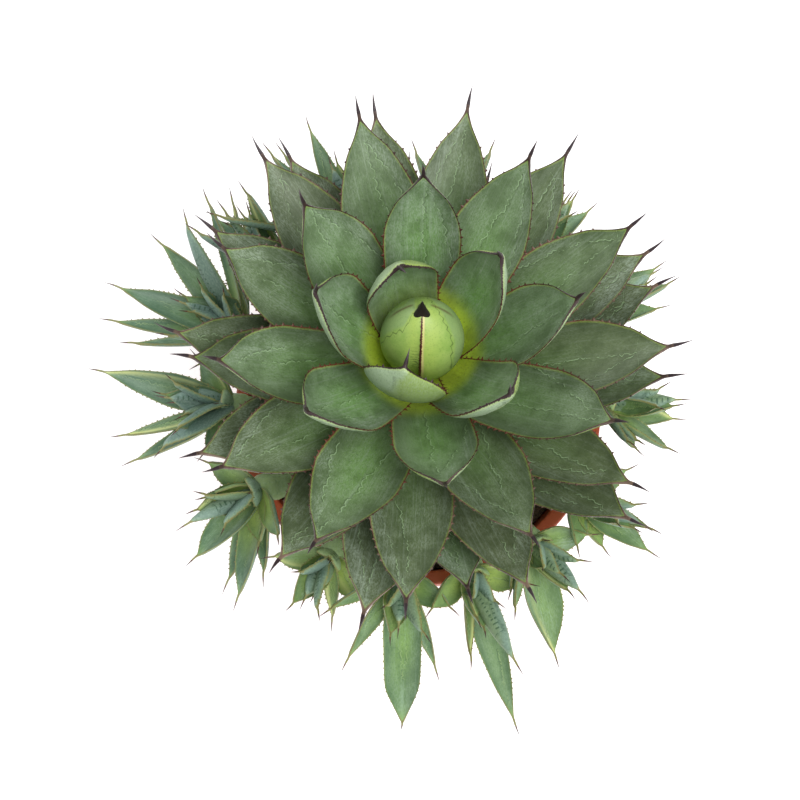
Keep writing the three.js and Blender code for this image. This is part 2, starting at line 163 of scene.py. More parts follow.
offsetLook = {
    "name": "young_leaf_skin_waxy_with_pale_margin",
    # For the offsets the old colours are bluer and duller: a painted sheen of the bright surroundings on the
    # shoots at the back and left
    "fresh": "#7a9c4c", "mid": "#66824e", "oldAndSheen": "#4f6c54", "glow": "#9fb556",
    "under": "#748a66", "underOldAndSheen": "#587068", "underVeil": "#718a80", "dust": "#9fb6a2",
    "imprint": "#b4c98a", "groove": "#33503a", "stripe": "#cdd28c",
    "marginTip": "#7a7848", "marginRoot": "#9ba068", "marginOldAndSheen": "#777a52",
    "spine": "#5b4034", "spineTip": "#2c2022", "hornStart": 1.25,
    "marginWidth": 0.16, "dustAmount": 0.4, "scallop": 2.4, "lineAmount": 0.4, "dashes": 0.8,
}

# What each point of a leaf carries: places on the leaf in millimetres or as shares, and amounts
leafValues = (
    "share", "edge", "under", "along", "across", "tone", "age", "glow", "fresh", "bloom", "spot",
    "veil", "stripe", "tooth", "markA", "markB", "seenA", "seenB",
)

# Imprints on a leaf, in mm: their line and its soft edge, the place and edge of the shade beside
# it, how far they arch, wander and drift, and the step of dashes
imprintSize = {
    "line": 0.06, "lineEdge": 0.24, "shade": 0.55, "shadeLine": 0.1, "shadeEdge": 0.6,
    "arch": 0.9, "wander": 9, "drift": 5, "dashStep": 2.1,
}

# Noise on a leaf: its scale across and along, its shift, detail and roughness
leafNoises = {
    "grain": (2.6, 0.75, 0, 3, 0.6),
    "streak": (1.1, 0.03, 0, 3, 0.55),
    "cloud": (0.13, 0.09, 0, 3, 0.6),
    "mottle": (1.5, 1, 5, 4, 0.7),
    "fleck": (2.2, 1.8, 0, 2, 0.5),
    "breaks": (1, 0.12, 0, 1, 0.5),
    "wobble": (0, 0.25, 3, 2, 0.5),
    "drift": (0, 0.11, 7, 2, 0.5),
}


# Waxy leaf skin: the eye sees a dusty grey-green face, yellower at the heart and lightened there
# with painted light for the light shining through the leaf bases, with pale scalloped imprints of
# its neighbours, a thin horny margin and a dark glossy spine
def leafMaterial(look):
    material, node = startMaterial(look["name"])
    value = {name: node("Attribute", attribute_name=name, output="Fac") for name in leafValues}
    share, edge, under, along = (value[name] for name in ("share", "edge", "under", "along"))
    # Each leaf takes its own stretch of every noise
    seed = node("Math", value["tone"], 90)
    noise = {}
    for name, (acrossScale, alongScale, shift, detail, roughness) in leafNoises.items():
        place = node(
            "CombineXYZ", node("Math", value["across"], acrossScale), node("Math", along, alongScale),
            node("Math", seed, shift, operation="ADD"))
        noise[name] = node("TexNoise", place, 1, detail, roughness)

    # The face, with its waxy bloom
    lane = node("Math", value["across"], operation="ABSOLUTE")
    halfWidth = node("Math", node("Math", lane, edge, operation="ADD"), 0.01, operation="ADD")
    lane = node("Math", lane, halfWidth, operation="DIVIDE")
    bloom = node("Math", value["bloom"], look["dustAmount"])
    bloom = node("Math", bloom, node("MapRange", value["glow"], 0, 0.6, 1, 0))
    bloom = node("Math", bloom, node("MapRange", value["veil"], 0, 1, 0.75, 1.4))
    dusty = node("Math", node("MapRange", noise["grain"], 0.36, 0.7, 0.15, 1),
                 node("MapRange", noise["cloud"], 0.3, 0.66, 0.35, 1))
    face = look["mid"]
    for amount, colour in (
        # old age in the rosette; in the offsets a painted sheen, bluer at the back and left
        (value["age"], "oldAndSheen"),
        (value["fresh"], "fresh"),
        # the heart's own yellow-green, which in the rosette's colour is also painted light for light shining
        # through the leaf bases
        (value["glow"], "glow"),
        (node("Math", dusty, bloom), "dust"),
        (node("Math", node("MapRange", noise["streak"], 0.5, 0.72, 0, 0.6), bloom), "dust"),
        (node("MapRange", noise["cloud"], 0.3, 0.6, 0.35, 0), "groove"),
        (node("MapRange", noise["mottle"], 0.28, 0.5, 0.4, 0), "groove"),
        (node("MapRange", noise["fleck"], 0.66, 0.78, 0, 0.4), "dust"),
        # painted shade: darker towards the margins
        (node("MapRange", lane, 0.35, 1, 0, 0.3), "groove"),
        (node("Math", value["spot"], 0.7), "fresh"),
        (value["stripe"], "stripe"),
    ):
        face = node("Mix", amount, face, look[colour])

    # The underside, smoother and often bluer
    back = look["under"]
    for amount, colour in (
        # old age in the rosette, painted sheen in the offsets
        (value["age"], "underOldAndSheen"),
        (node("Math", value["veil"], 0.75), "underVeil"),
        # the same yellow-green and painted light at the heart, weaker on the back
        (node("Math", value["glow"], 0.5), "glow"),
        (node("MapRange", noise["grain"], 0.4, 0.7, 0, 0.25), "dust"),
        (node("MapRange", noise["mottle"], 0.3, 0.5, 0.35, 0), "groove"),
    ):
        back = node("Mix", amount, back, look[colour])
    isBack = node("MapRange", under, 0.2, 0.6)
    skin = node("Mix", isBack, face, back)

    # Imprints of the neighbours' toothed margins from when the leaves were wrapped in the bud
    size = imprintSize
    wobble = node("Math", node("Math", noise["wobble"], 0.5, operation="SUBTRACT"), size["wander"])
    beat = node("Math", node("Math", along, wobble, operation="ADD"), math.pi / look["scallop"])
    arc = node("Math", node("Math", beat, operation="SINE"), operation="ABSOLUTE")
    drift = node("Math", node("Math", noise["drift"], 0.5, operation="SUBTRACT"), size["drift"])
    arc = node("Math", arc, drift, operation="ADD")
    broken = node("MapRange", noise["breaks"], 0.4, 0.56)
    ink = node("Mix", isBack, look["imprint"], look["groove"])
    lines = []
    for mark, visible in (("markA", "seenA"), ("markB", "seenB")):
        offset = node("Math", value[mark], node("Math", arc, size["arch"]), operation="ADD")
        gap = node("Math", offset, operation="ABSOLUTE")
        line = node("MapRange", gap, size["line"], size["lineEdge"], 1, 0)
        beside = node("Math", node("Math", offset, size["shade"], operation="ADD"), operation="ABSOLUTE")
        shadow = node("MapRange", beside, size["shadeLine"], size["shadeEdge"], 0.35, 0)
        seen = node("Math", value[visible], broken)
        skin = node("Mix", node("Math", shadow, seen), skin, look["groove"])
        lines.append(node("Math", line, seen))
    lines = node("Math", *lines, operation="MAXIMUM")
    skin = node("Mix", node("Math", lines, look["lineAmount"]), skin, ink)

    # Rows of dashes on a back, where a neighbour's teeth pressed on it
    gaps = [node("Math", value[mark], operation="ABSOLUTE") for mark in ("markA", "markB")]
    nearest = node("Math", *gaps, operation="MINIMUM")
    dash = node("Math", node("Math", along, 2 * math.pi / size["dashStep"]), operation="SINE")
    dash = node("Math", node("MapRange", dash, 0.35, 0.75), node("MapRange", nearest, 0.2, 0.6, 1, 0))
    skin = node("Mix", node("Math", node("Math", dash, under), look["dashes"]), skin, look["groove"])

    # The horny margin, dark and wider towards the spine and redder towards the root
    margin = node("Mix", node("MapRange", share, 0.35, 0.85), look["marginRoot"], look["marginTip"])
    # Wear with age in the rosette; in the offsets a painted sheen that dulls the margins at the back and left
    wornAndSheen = node("Math", value["age"], node("MapRange", noise["cloud"], 0.4, 0.6, 0.15, 0.75))
    margin = node("Mix", wornAndSheen, margin, look["marginOldAndSheen"])
    width = node("MapRange", share, 0.9, 1, look["marginWidth"], 2.6 * look["marginWidth"])
    ragged = node("MapRange", noise["grain"], 0.3, 0.7, -0.15, 0.2)
    width = node("Math", width, ragged, operation="ADD")
    inside = node("Math", edge, width, operation="SUBTRACT")
    skin = node("Mix", node("MapRange", inside, 0, 1, 0.16, 0), skin, look["glow"])
    skin = node("Mix", node("MapRange", inside, -0.12, 0.2, 1, 0), skin, margin)
    horn = node("Mix", node("MapRange", share, 1.25, 1.9), look["spine"], look["spineTip"])
    isHorn = node("MapRange", share, look["hornStart"], look["hornStart"] + 0.04)
    skin = node("Mix", isHorn, skin, horn)
    skin = node("Mix", value["tooth"], skin, look["spine"])

    shine = node("MapRange", noise["grain"], 0.3, 0.7, 0.4, 0.54)
    shine = node("Math", shine, node("Math", isHorn, 0.12), operation="SUBTRACT")
    relief = node("Math", noise["streak"], node("Math", noise["grain"], 0.5), operation="ADD")
    relief = node("Math", relief, lines, operation="ADD")
    bump = node("Bump", 0.5, 0.12 * mm, None, relief)
    return finishMaterial(material, {"Base Color": skin, "Roughness": shine, "Normal": bump, "IOR": 1.45})


# Leaf meshes

rosetteForm = {
    "belly": 0.53, "rootShare": 0.52, "pinch": 0.6, "stations": 64, "spineRadius": 0.75, "spineRings": 9,
    "lanes": [0, 0.16, 0.32, 0.48, 0.62, 0.74, 0.84, 0.91, 0.95, 0.98, 1],
    "underLanes": [0.96, 0.88, 0.74, 0.5, 0.25, 0],
    "toothStart": 0.06, "toothEnd": 0.87, "toothStep": 3.9, "toothHeight": 1.15, "toothLength": 0.8,
    "toothSides": 6, "toothTint": 0.5,
}

offsetForm = {
    "belly": 0.42, "rootShare": 0.55, "pinch": 0.35, "stations": 36, "spineRadius": 0.42, "spineRings": 6,
    "lanes": [0, 0.25, 0.5, 0.72, 0.86, 0.94, 1],
    "underLanes": [0.9, 0.62, 0.3, 0],
    "toothStart": 0.1, "toothEnd": 0.9, "toothStep": 2.3, "toothHeight": 0.6, "toothLength": 0.55,
    "toothSides": 4, "toothTint": 1,
}

# What all blades share: how they narrow, thin and cup towards the tip, their slow waves, the sizes
# of the tints on their face, and how the two imprints bend away
bladeRule = {
    "pinchFrom": 0.55, "bunching": 1.25, "thinning": 0.6, "cupAtRoot": 0.75, "cupGain": 0.5,
    "edgeWave": 0.025, "edgeWaves": 9, "ripples": (7, 13), "secondRipple": 0.6,
    "freshSpan": 0.24, "freshLane": 0.55, "tipSpot": 5, "spotLane": 0.7, "stripeHalf": 0.7,
    "middleBend": 0.0035, "outerBend": 0.0022,
}

# The distance in mm that stands for no imprint or seam being near
farOff = 9


# Half the width at a share of the blade's length, as a share of the widest
def bladeOutline(share, form, taper):
    x = (form["belly"] - share) / form["belly"]
    lower = 1 - (1 - form["rootShare"]) * x * x
    x = np.clip((share - form["belly"]) / (1 - form["belly"]), 0, 1)
    upper = (1 - x ** taper) * (1 - form["pinch"] * smooth(bladeRule["pinchFrom"], 1, x))
    return np.where(share < form["belly"], lower, upper)


# Collects the points, faces and point values of one piece
class Solid:
    def __init__(self):
        self.points, self.faces, self.values, self.count = [], [], {}, 0

    def add(self, points, faces, **values):
        points = np.asarray(points, float).reshape(-1, 3)
        self.faces += [tuple(int(i) + self.count for i in face) for face in faces]
        for name in set(self.values) | set(values):
            if name not in self.values:
                self.values[name] = [np.zeros(self.count)] if self.count else []
            part = np.broadcast_to(np.asarray(values.get(name, 0.0), float).ravel(), (len(points),))
            self.values[name].append(part)
        self.points.append(points)
        self.count += len(points)

    def build(self, name, *materials, sharpAngle=60):
        mesh = bpy.data.meshes.new(name)
        mesh.from_pydata((np.concatenate(self.points) * mm).tolist(), [], self.faces)
        for key, parts in self.values.items():
            layer = mesh.attributes.new(key, "FLOAT", "POINT")
            layer.data.foreach_set("value", np.concatenate(parts).astype(np.float32))
        mesh.shade_smooth()
        mesh.set_sharp_from_angle(angle=math.radians(sharpAngle))
        for material in materials:
            mesh.materials.append(material)
        piece = bpy.data.objects.new(name, mesh)
        bpy.context.collection.objects.link(piece)
        return piece


# Quads between rings of points, numbered ring by ring, closed at the start and if asked at the end
def tubeFaces(rings, around, closedEnd=False):
    faces = [tuple(range(around))]
    for i in range(rings - 1):
        for k in range(around):
            after = (k + 1) % around
            faces.append((i * around + k, (i + 1) * around + k, (i + 1) * around + after, i * around + after))
    if closedEnd:
        faces.append(tuple(reversed(range((rings - 1) * around, rings * around))))
    return faces


# Faces from the last ring of a tube to the point that follows it
def apexFaces(rings, around):
    last, apex = (rings - 1) * around, rings * around
    return [(last + k, apex, last + (k + 1) % around) for k in range(around)]


# Points round the upright axis from their radii, angles and heights
def uprightRings(radius, angles, z):
    return np.stack(np.broadcast_arrays(radius * np.cos(angles), radius * np.sin(angles), z), -1)


# Points round a centreline, ring by ring, from the radius, side and normal at each of its points
def ringsAlong(centre, radius, side, normal, angles):
    spokes = side[..., None, :] * np.sin(angles)[:, None] + normal[:, None] * np.cos(angles)[:, None]
    return centre[:, None] + radius[:, None, None] * spokes


# A tooth: its two rings below the tip, as shares of its height and length, how thin and hooked it
# is, and the ranges that size, lean and spacing are drawn from
toothShape = {
    "rings": ((-0.25, 1), (0.45, 0.5)), "thinness": 0.33, "hook": 1.6,
    "sizes": (0.7, 1.25), "leans": (-0.1, 0.5), "spacings": (0.65, 1.35),
}


# Small hooked teeth along one margin, given the points of the margin and of the lane inside it
def addTeeth(solid, form, margin, inner, values, draw):
    steps = np.linalg.norm(np.diff(margin, axis=0), axis=1)
    run = np.concatenate([[0], np.cumsum(steps)])
    at = run[-1] * form["toothStart"] + draw.uniform(0, form["toothStep"])
    shape, sides = toothShape, form["toothSides"]
    tint = form["toothTint"] * np.array([0] * sides + [0.25] * sides + [1])
    while at < run[-1] * form["toothEnd"]:
        i = int(np.searchsorted(run, at)) - 1
        t = (at - run[i]) / max(steps[i], 1e-6)
        foot = margin[i] * (1 - t) + margin[i + 1] * t
        forward = unit(margin[i + 1] - margin[i])
        outward = margin[i] - inner[i]
        outward = unit(outward - forward * np.dot(outward, forward))
        flat = np.cross(forward, outward)
        share = at / run[-1]
        size = draw.uniform(*shape["sizes"]) * (1.15 - 0.5 * share)
        height, half = form["toothHeight"] * size, form["toothLength"] * size
        lean = draw.uniform(*shape["leans"])
        points = []
        for rise, scale in shape["rings"]:
            middle = foot + outward * height * rise + forward * half * lean * max(rise, 0) ** 1.5
            for angle in evenAngles(sides):
                spoke = forward * math.cos(angle) + flat * shape["thinness"] * math.sin(angle)
                points.append(middle + scale * half * spoke)
        points.append(foot + outward * height + forward * half * lean * shape["hook"])
        solid.add(points, tubeFaces(2, sides) + apexFaces(2, sides), **values, share=share, tooth=tint)
        at += form["toothStep"] * draw.uniform(*shape["spacings"])


# Adds one leaf to a solid: blade, spine and teeth along a bowed centreline, cupped more to the tip
def addLeaf(solid, leaf, form, draw):
    rule = bladeRule
    root, tip, side = (np.asarray(leaf[key], float) for key in ("root", "tip", "side"))
    side = unit(side)
    chord = tip - root
    upper = unit(np.cross(chord, side))
    sag = 0.5 * np.linalg.norm(chord) * math.tan(math.radians(leaf["bow"]))
    path = (root, root + chord * leaf["knee"] - upper * sag, tip)
    length = np.linalg.norm(np.diff(bent(*path, np.linspace(0, 1, 60)), axis=0), axis=1).sum()
    bladeShare = 1 - leaf["spine"] / length
    share = 1 - (1 - np.linspace(0, 1, form["stations"])) ** rule["bunching"]
    centre = bent(*path, share * bladeShare)
    normal = unit(np.cross(bentHeading(*path, share * bladeShare), side))

    # Slow waves keep the blade from looking drawn with a ruler
    phase = [draw.uniform(0, 2 * math.pi) for _ in range(3)]
    fade = np.sin(np.pi * np.clip(share, 0, 1)) ** 0.7
    half = 0.5 * leaf["width"] * bladeOutline(share, form, leaf["taper"])
    half = half * (1 + rule["edgeWave"] * fade * np.sin(rule["edgeWaves"] * share + phase[0]))
    thick = leaf["thickness"] * (1 - rule["thinning"] * share)
    cup = np.radians(leaf["cup"] * (rule["cupAtRoot"] + rule["cupGain"] * share))
    lanes = [-x for x in reversed(form["lanes"])] + form["lanes"][1:]
    under = form["underLanes"] + [-x for x in reversed(form["underLanes"][:-1])]
    lane = np.array(lanes + under)
    below = np.array([0.0] * len(lanes) + [1.0] * len(under))
    angle = lane[None, :] * cup[:, None]
    depth = below * thick[:, None] * np.maximum(1 - lane ** 2, 0) ** 0.6
    lateral = half[:, None] * np.sin(angle) / cup[:, None] + depth * np.sin(angle)
    rise = half[:, None] * (1 - np.cos(angle)) / cup[:, None] - depth * np.cos(angle)
    slow, quick = (waves * share[:, None] for waves in rule["ripples"])
    ripple = np.sin(slow + phase[1] + 1.5 * lane)
    ripple = ripple + rule["secondRipple"] * np.sin(quick + phase[2] - 2 * lane)
    rise = rise + leaf["wave"] * fade[:, None] * (0.15 + 0.35 * lane ** 2) * ripple

    # The blade closes into the round foot of its spine
    foot = form["spineRadius"]
    turn = np.where(below > 0, 2 - lane, lane) * math.pi / 2
    blend = smooth(leaf["closing"], 1, share)[:, None]
    lateral = lateral * (1 - blend) + foot * np.sin(turn) * blend
    rise = rise * (1 - blend) + foot * np.cos(turn) * blend
    rings = centre[:, None] + side * lateral[..., None] + normal[:, None] * rise[..., None]

    q = np.linspace(0, 1, form["spineRings"] + 1)[1:-1]
    along = bladeShare + (1 - bladeShare) * q
    spineCentre = bent(*path, along) + side * (leaf["hook"] * q ** 2)[:, None]
    spineNormal = unit(np.cross(bentHeading(*path, along), side))
    spine = ringsAlong(spineCentre, foot * (1 - q) ** 1.15 + 0.05, side, spineNormal, turn)
    points = np.concatenate([rings, spine]).reshape(-1, 3)
    around = len(lane)

    # A value for each point: over the blade, then over the spine and at its tip
    def full(blade, spinePart=0.0, apex=0.0):
        return np.concatenate([
            np.broadcast_to(blade, (len(share), around)).ravel(),
            np.broadcast_to(spinePart, (len(q), around)).ravel(), [apex]])

    run = share * bladeShare * length
    across = half[:, None] * lane
    away = np.linalg.norm((centre - leaf["heart"])[:, :2], axis=1)
    # The heart's yellow-green and its painted light fade out past glowStart over glowLength
    glow = leaf["young"] * (1 - smooth(0, 1, (away - leaf["glowStart"]) / leaf["glowLength"]))
    fresh = leaf["fresh"] * np.exp(-((share - leaf["freshAt"]) / rule["freshSpan"]) ** 2)[:, None]
    fresh = fresh * np.exp(-(lane / rule["freshLane"]) ** 2)
    spot = np.exp(-((1 - share) * length / rule["tipSpot"]) ** 2)[:, None]
    spot = spot * np.exp(-(lane / rule["spotLane"]) ** 2)
    fromStripe = across - leaf["stripeAt"] * half[:, None]
    stripe = np.exp(-((fromStripe / rule["stripeHalf"]) ** 2)) * leaf["stripe"]

    # Two imprints part from near the tip: one runs down the middle, the other out to a margin
    back = leaf["markApex"] * length * bladeShare - run
    middle = leaf["hand"] * (leaf["markSway"] * back - rule["middleBend"] * leaf["markBend"] * back ** 2)
    outer = -leaf["hand"] * (leaf["markOpen"] * back - rule["outerBend"] * back ** 2)
    past = 3 * np.maximum(0, -back)[:, None]
    values = {
        "share": full(share[:, None] * 0.999, (1 + q)[:, None], 2),
        "edge": full(half[:, None] * (1 - np.abs(lane))), "across": full(across),
        "along": full(run[:, None]), "under": full(below), "glow": full(glow[:, None]),
        "fresh": full(fresh), "spot": full(spot),
        "markA": full(across - middle[:, None] + past, farOff, farOff),
        "markB": full(across - outer[:, None] - past, farOff, farOff),
        "seenA": full(leaf["marks"] * smooth(0.1, 0.28, share)[:, None]),
        "seenB": full(leaf["marks"] * smooth(0.3, 0.42, share)[:, None]),
        "veil": full(smooth(-0.4, 0.8, leaf["hand"] * (outer[:, None] - across))),
        "stripe": full(stripe * (1 - below) * smooth(0.1, 0.3, share)[:, None]),
    }
    shared = {key: leaf[key] for key in ("tone", "age", "bloom")}
    faces = tubeFaces(len(rings) + len(spine), around) + apexFaces(len(rings) + len(spine), around)
    solid.add(np.concatenate([points, (tip + side * leaf["hook"])[None]]), faces, **values, **shared)
    for margin, inner in ((0, 1), (len(lanes) - 1, len(lanes) - 2)):
        addTeeth(solid, form, rings[:, margin], rings[:, inner], shared, draw)


# The rosette

crownHeight = 195

rosette = {
    "leaves": 44, "fallen": (36, 42), "seed": 700, "firstAzimuth": 116, "turn": 137.87,
    "firstRoot": -22, "rootSpacing": 0.9, "rootDepth": 2,
    "fullReach": 99, "innerReach": 20, "lowRise": 3, "innerRise": 47,
    "width": 32, "widthSway": 1.5, "thickness": 4.2, "taperSway": 0.12,
    # at the youngest leaf, at the oldest, and the count of leaves that it changes over
    "bow": (26, 8, 8), "knee": (0.78, 0.62, 8), "cup": (54, 24, 4), "spine": (6, 11, 6),
    "taper": (1.85, 1.5, 8),
    "glowStart": 14.5, "glowStep": 0.6, "glowLength": 7.5,
}

# Where single leaves, counted from the youngest, depart from the rule
leafNudges = {
    0: dict(reach=13, rise=36, bow=36, knee=0.78, cup=42, young=0.25, fresh=0.2),
    1: dict(reach=15, rise=32, bow=43, knee=0.81, cup=31, azimuth=-1),
    2: dict(bow=22, bloom=1.1),
    3: dict(azimuth=4, bow=20),
    4: dict(azimuth=5, bow=24, bloom=1.2),
    5: dict(azimuth=4, reach=50, bloom=1.2),
    6: dict(bow=22),
    7: dict(azimuth=3, reach=56),
    8: dict(azimuth=-3, reach=61),
    9: dict(reach=65),
    10: dict(azimuth=2.5, reach=77),
    13: dict(azimuth=-2.5, reach=90),
    14: dict(azimuth=-1, reach=93),
    15: dict(azimuth=2.5, reach=92),
    16: dict(azimuth=-5, reach=85),
    17: dict(azimuth=-3.5, reach=91),
    18: dict(azimuth=1, reach=99),
    20: dict(azimuth=3.5, reach=98, bloom=0.4),
    21: dict(azimuth=-1.5, reach=101),
    22: dict(azimuth=-2.5, reach=105),
    23: dict(azimuth=6, reach=101),
    24: dict(reach=92),
    25: dict(azimuth=1, reach=100, bloom=0.4),
    26: dict(reach=102),
    27: dict(reach=103),
    28: dict(azimuth=6, reach=100),
    29: dict(azimuth=-4),
    30: dict(reach=106),
    31: dict(reach=86, rise=-14),
    33: dict(azimuth=6),
    35: dict(azimuth=-3, reach=110),
    38: dict(azimuth=3, reach=107),
    39: dict(reach=88, rise=-18),
    40: dict(reach=84, rise=-22),
    41: dict(azimuth=6),
    43: dict(azimuth=-4, reach=99, rise=-6, fresh=0.5, bloom=1.1, age=0.4),
}

stemSize = {
    "bottom": 88, "widestAt": 126, "top": 172, "footRadius": 9, "widestRadius": 17, "topRadius": 7.5,
    "rings": 60, "sides": 48, "wrinkle": 0.02, "wrinkleWaves": 1.9,
}


def stemRadius(height):
    s = stemSize
    if height < s["widestAt"]:
        swell = math.sin(math.pi / 2 * (height - s["bottom"]) / (s["widestAt"] - s["bottom"]))
        return s["footRadius"] + (s["widestRadius"] - s["footRadius"]) * swell
    down = (height - s["widestAt"]) / (s["top"] - s["widestAt"])
    return s["widestRadius"] + (s["topRadius"] - s["widestRadius"]) * down


# What changes from the youngest leaf to the oldest, at leaf n
def aged(key, n):
    youngest, oldest, span = rosette[key]
    return oldest + (youngest - oldest) * math.exp(-n / span)


def rosetteLeaf(n, draw):
    nudge = leafNudges.get(n, {})
    r = rosette
    azimuth = math.radians(r["firstAzimuth"] + r["turn"] * n + nudge.get("azimuth", 0))
    outward, up = np.array([math.cos(azimuth), math.sin(azimuth), 0]), np.array([0, 0, 1])
    rootHeight = crownHeight + r["firstRoot"] - r["rootSpacing"] * n
    reach = r["innerReach"] + (r["fullReach"] - r["innerReach"]) * (1 - math.exp(-((n / 9) ** 1.35)))
    rise = r["lowRise"] + (r["innerRise"] - r["lowRise"]) * math.exp(-((n / 17) ** 2))
    leaf = {
        "root": outward * (stemRadius(rootHeight) - r["rootDepth"]) + up * rootHeight,
        "tip": outward * nudge.get("reach", reach) + up * (crownHeight + nudge.get("rise", rise)),
        "side": np.cross(up, outward), "heart": np.zeros(3),
        "bow": aged("bow", n), "knee": aged("knee", n), "cup": aged("cup", n), "closing": 0.93,
        "width": r["width"] + r["widthSway"] * math.sin(2.4 * n),
        "taper": aged("taper", n) + r["taperSway"] * math.sin(1.7 * n),
        "thickness": r["thickness"], "spine": aged("spine", n),
        "hook": draw.uniform(-1, 1) if n > 4 else 0,
        "wave": 0.25 if n < 6 else 0.6,
        "tone": draw.uniform(0, 1),
        "age": float(np.clip((n - 5) / 17, 0, 1)) * draw.uniform(0.75, 1),
        "young": math.exp(-((n / 12) ** 2)), "glowStart": r["glowStart"] + r["glowStep"] * n,
        "glowLength": r["glowLength"],
        "bloom": draw.uniform(0.5, 1.1),
        "fresh": (0.15 + 0.65 * math.exp(-((n / 18) ** 2))) * draw.uniform(0.6, 1),
        "freshAt": draw.uniform(0.28, 0.45), "stripe": 0, "stripeAt": 0,
        "hand": 1 if n % 3 else -1, "markApex": draw.uniform(0.8, 0.92),
        "markSway": draw.uniform(-0.05, 0.12), "markBend": draw.uniform(-0.5, 1.2),
        "markOpen": draw.uniform(0.32, 0.5), "marks": 0.55 if n < 3 else 1,
    }
    return {**leaf, **{key: value for key, value in nudge.items() if key in leaf}}


def makeRosette(material):
    grown = [n for n in range(rosette["leaves"]) if n not in rosette["fallen"]]
    for i, n in enumerate(grown):
        draw = random.Random(rosette["seed"] + n)
        solid = Solid()
        addLeaf(solid, rosetteLeaf(n, draw), rosetteForm, draw)
        piece = solid.build(f"rosette_leaf_{i + 1:02d}", material)
        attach(piece, "root")
        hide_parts(f"leaf_{i + 1:02d}")
    print("rosette leaves:", len(grown))


makeRosette(leafMaterial(rosetteLook))


# The bud: leaves still wrapped round each other, the outermost one's toothed margin on the seam

bud = {
    "bottom": -22.5, "top": 23, "rootRadius": 7, "radius": 15.6, "tipRadius": 1.6,
    "seamStep": 1.6, "seamAzimuth": 268, "lean": 2.5, "flatness": 0.89, "around": 120, "rings": 70,
    "seed": 5,
    # grooves beside the seam: depth, and their place and spread in turns
    "grooves": ((1.1, 0.03, 0.03), (0.6, 1, 0.012)),
    "spine": 8.5, "spineSink": 2.2, "spineRadius": 3.1, "spineLobes": 0.26, "spineLean": 1.3,
    # the imprints' lines over the top, seen from above, and how far from the middle they begin
    "leftDip": 5, "rightAt": 7, "rightSlope": 0.6, "rightLimit": 11.3, "clear": 2.5,
    # the dark margin over each shoulder, behind the spine
    "shoulderAt": 3.4, "shoulderHalf": 0.5, "shoulderDroop": 0.045,
    # the zigzag's step and depth, the ticks' turn in radians to the millimetre, their raggedness
    "zigStep": 2.3, "zigDepth": 1.8, "tickTurn": 4.4, "ragged": 2.6,
}

budTeeth = dict(offsetForm, toothStep=1.9, toothHeight=0.7, toothLength=0.5, toothStart=0.02, toothEnd=0.98)

budLook = {
    "skin": "#7c9a4a", "pale": "#8ca556", "bright": "#93a94e", "grey": "#7d9660", "line": "#37491f",
    "lip": "#cdb880", "margin": "#4a221c", "spine": "#1b1416",
}

budValues = (
    "height", "seam", "imprint", "bright", "bloom", "beat", "ticks", "lip", "horn", "tooth", "shoulder",
)


# Bud skin: smooth and yellow-green, paler beside the seam, with dark zigzag imprints
def budMaterial():
    material, node = startMaterial("bud_skin_fresh_waxy")
    value = {name: node("Attribute", attribute_name=name, output="Fac") for name in budValues}
    place = node("TexCoord", output="Object")
    grain = node("TexNoise", place, 1.5 / mm, 4, 0.65)
    cloud = node("TexNoise", place, 0.17 / mm, 4, 0.6)
    ragged = node("Math", node("TexNoise", place, 0.42 / mm, 3, 0.6), 0.5, operation="SUBTRACT")
    ragged = node("Math", ragged, bud["ragged"])

    # The imprints' zigzag, and ticks beside the seam
    zig = node("Math", node("Math", value["beat"], bud["zigStep"], operation="DIVIDE"), operation="FRACT")
    zig = node("Math", node("Math", zig, 0.5, operation="SUBTRACT"), operation="ABSOLUTE")
    offset = node("Math", value["imprint"], node("Math", zig, bud["zigDepth"]), operation="ADD")
    offset = node("Math", offset, node("Math", ragged, 0.4), operation="ADD")
    line = node("MapRange", node("Math", offset, operation="ABSOLUTE"), 0.08, 0.26, 1, 0)
    tick = node("Math", node("Math", value["height"], ragged, operation="ADD"), bud["tickTurn"])
    tick = node("MapRange", node("Math", tick, operation="SINE"), 0.45, 0.95)
    frayed = node("Math", value["seam"], node("MapRange", grain, 0.3, 0.7, -0.2, 0.2), operation="ADD")

    skin = node("Mix", node("MapRange", cloud, 0.35, 0.65), budLook["skin"], budLook["pale"])
    for amount, colour in (
        (node("Math", value["bright"], node("MapRange", cloud, 0.3, 0.7, 0.6, 1)), "bright"),
        (value["bloom"], "grey"),
        (node("MapRange", grain, 0.3, 0.48, 0.3, 0), "line"),
        (node("MapRange", grain, 0.56, 0.72, 0, 0.3), "bright"),
        (node("Math", line, 0.65), "line"),
        (node("Math", node("Math", tick, value["ticks"]), 0.75), "line"),
        (node("Math", value["lip"], 0.8), "lip"),
        (node("MapRange", frayed, 0.5, 0.8, 1, 0), "margin"),
        (value["shoulder"], "margin"),
        (value["horn"], "spine"),
        (value["tooth"], "spine"),
    ):
        skin = node("Mix", amount, skin, budLook[colour])
    relief = node("Math", node("Math", grain, 0.6), line, operation="SUBTRACT")
    return finishMaterial(material, {
        "Base Color": skin, "Roughness": node("MapRange", cloud, 0.3, 0.7, 0.36, 0.5),
        "Normal": node("Bump", 0.4, 0.1 * mm, None, relief), "IOR": 1.45,
    })


def budRadius(z):
    b = bud
    lower = b["radius"] - (b["radius"] - b["rootRadius"]) * (z / b["bottom"]) ** 2
    rise = np.clip(z / b["top"], 0, 1)
    upperPart = b["tipRadius"] + (b["radius"] - b["tipRadius"]) * (1 - rise ** 2.4) ** 0.8
    return np.where(z < 0, lower, upperPart)


